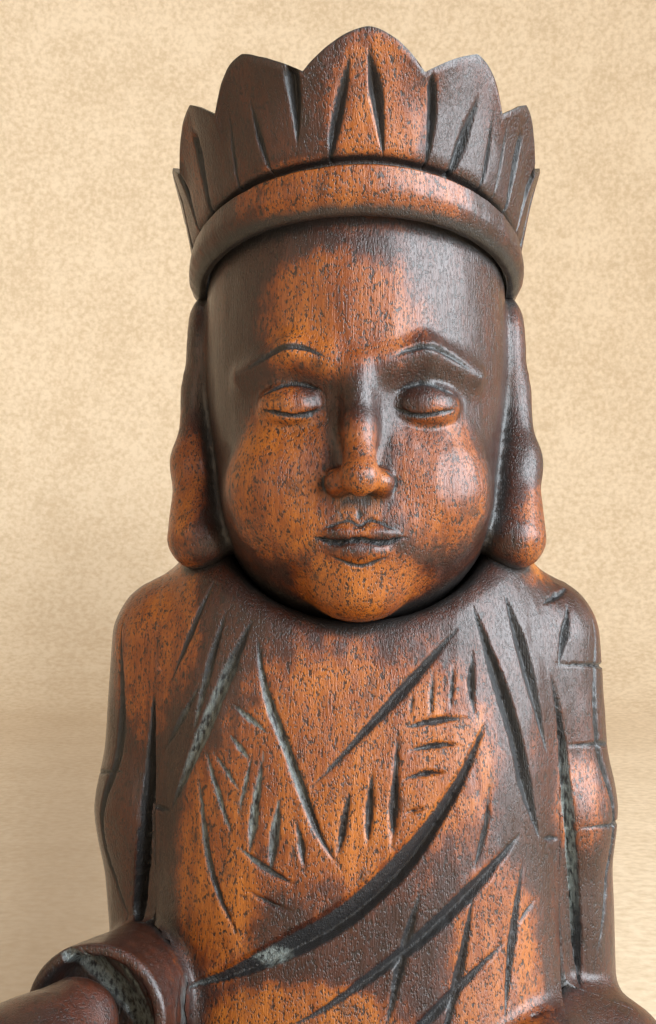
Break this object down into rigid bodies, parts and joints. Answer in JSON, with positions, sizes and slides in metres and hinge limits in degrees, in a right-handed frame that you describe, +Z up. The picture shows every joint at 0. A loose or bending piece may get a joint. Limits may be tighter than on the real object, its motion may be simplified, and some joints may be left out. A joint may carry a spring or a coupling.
{
  "type": "seated buddha statue",
  "caption": "Carved hardwood statue of a seated, crowned Buddha in gouged robes, right hand on the knee, on a lotus plinth with a felt pad underneath.",
  "frame": {"origin": "on the surface that the statue stands on, under the middle of its plinth", "axes": "+Z up, the figure faces -Y, and the figure's own left side is +X"},
  "size_m": [0.212, 0.144, 0.302],
  "materials": {
    "carved_wood": "glossy varnish over reddish-brown stained hardwood, near black in the carved recesses",
    "dowel_wood": "bare turned hardwood",
    "screw_steel": "plain steel wood screw",
    "felt": "dense pressed felt"
  },
  "bodies": {
    "root": {"felt_pad": "felt", "lotus_plinth": "carved_wood", "plinth_screw_front_right": "screw_steel", "plinth_screw_back_right": "screw_steel", "plinth_screw_front_left": "screw_steel", "plinth_screw_back_left": "screw_steel", "lap_block": "carved_wood", "trunk_block": "carved_wood", "right_arm_block": "carved_wood", "left_arm_block": "carved_wood", "right_forearm": "carved_wood", "left_forearm": "carved_wood", "right_hand": "carved_wood", "left_hand": "carved_wood", "head": "carved_wood", "crown": "carved_wood", "right_arm_dowel_upper": "dowel_wood", "right_arm_dowel_lower": "dowel_wood", "left_arm_dowel_upper": "dowel_wood", "left_arm_dowel_lower": "dowel_wood", "right_lap_dowel": "dowel_wood", "left_lap_dowel": "dowel_wood", "right_elbow_dowel": "dowel_wood", "left_elbow_dowel": "dowel_wood"}
  },
  "joints": []
}
